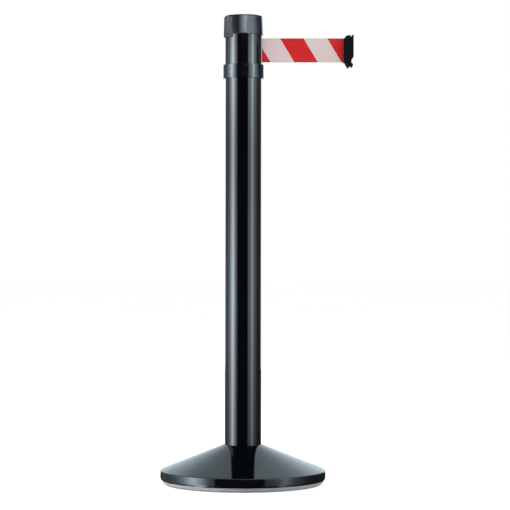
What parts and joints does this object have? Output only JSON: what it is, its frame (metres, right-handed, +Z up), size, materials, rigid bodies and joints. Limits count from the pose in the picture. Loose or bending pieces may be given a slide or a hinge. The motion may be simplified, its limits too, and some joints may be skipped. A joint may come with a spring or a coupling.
{
  "type": "retractable belt stanchion",
  "caption": "Upright black crowd-control post on a round weighted base, with a red and white striped belt that pulls out of its head and ends in a hooked clip.",
  "frame": {"origin": "centre of the floor ring's underside, on the floor", "axes": "+Z up the post, +X the way the belt pulls out of the head, +Y to the left of the belt"},
  "size_m": [0.4042, 0.3466, 0.983],
  "materials": {
    "ring_rubber": "matt grey rubber",
    "cast_iron": "rough sand-cast",
    "gloss_black": "glossy black powder coat",
    "zinc_steel": "zinc plated",
    "cast_alloy": "as cast",
    "head_plastic": "satin black moulding",
    "collar_gloss": "glossy black moulding",
    "dark_screw": "black oxide",
    "inner_plastic": "plain moulded",
    "spring_steel": "blued strip",
    "bronze": "sintered bronze",
    "belt_webbing": "woven polyester, red and off-white diagonal stripes",
    "brake_lining": "brake lining",
    "clip_plastic": "matt black moulding"
  },
  "bodies": {
    "post": {"floor_ring": "ring_rubber", "base_weight": "cast_iron", "base_cover": "gloss_black", "base_bolt": "zinc_steel", "base_washer": "zinc_steel", "foot_plug": "cast_alloy", "post_tube": "gloss_black", "head_sleeve": "gloss_black", "collar_ring": "collar_gloss", "collar_screws": "dark_screw", "top_cap": "head_plastic", "cap_screws": "dark_screw", "cassette_base_plate": "zinc_steel", "cassette_top_plate": "zinc_steel", "cassette_pillars": "zinc_steel", "pillar_screws": "zinc_steel", "spring_case": "inner_plastic", "spring_case_lid": "inner_plastic", "mainspring": "spring_steel", "spool_shaft": "zinc_steel", "shaft_nuts": "zinc_steel", "belt_guide": "inner_plastic", "guide_pins": "zinc_steel", "brake_drum": "cast_alloy"},
    "spool": {"spool_core": "inner_plastic", "spool_lower_flange": "inner_plastic", "spool_upper_flange": "inner_plastic", "lower_bush": "bronze", "upper_bush": "bronze", "belt_anchor_rod": "zinc_steel", "belt_roll": "belt_webbing", "brake_carrier": "zinc_steel", "brake_pivot_pins": "zinc_steel"},
    "brake_a": {"brake_shoe_a": "brake_lining"},
    "brake_b": {"brake_shoe_b": "brake_lining"},
    "belt_end": {"clip_body": "clip_plastic", "clip_cover": "clip_plastic", "belt_end_pin": "zinc_steel", "clip_screws": "dark_screw", "belt_web": "belt_webbing"}
  },
  "joints": [
    {"name": "belt_pull", "type": "slide", "parent": "post", "child": "belt_end", "axis": [1, 0, 0], "range_m": [-0.17, 2.75], "stiffness_N_per_m": 1, "springref_m": -3, "deforming": ["belt_web"]},
    {"name": "spool_spin", "type": "hinge", "parent": "post", "child": "spool", "pos_m": [0, 0, 0.911], "axis": [0, 0, 1], "range_deg": [-495, 7930], "deforming": ["mainspring"]},
    {"name": "brake_a_swing", "type": "hinge", "parent": "spool", "child": "brake_a", "pos_m": [0.02, 0, 0.945], "axis": [0, 0, 1], "range_deg": [-4.5, 0]},
    {"name": "brake_b_swing", "type": "hinge", "parent": "spool", "child": "brake_b", "pos_m": [-0.02, 0, 0.945], "axis": [0, 0, 1], "range_deg": [-4.5, 0]}
  ],
  "couplings": [
    {"joint": "spool_spin", "follows": "belt_pull", "rad_per_m": 50.3},
    {"joint": "brake_b_swing", "follows": "brake_a_swing", "ratio": 1}
  ]
}
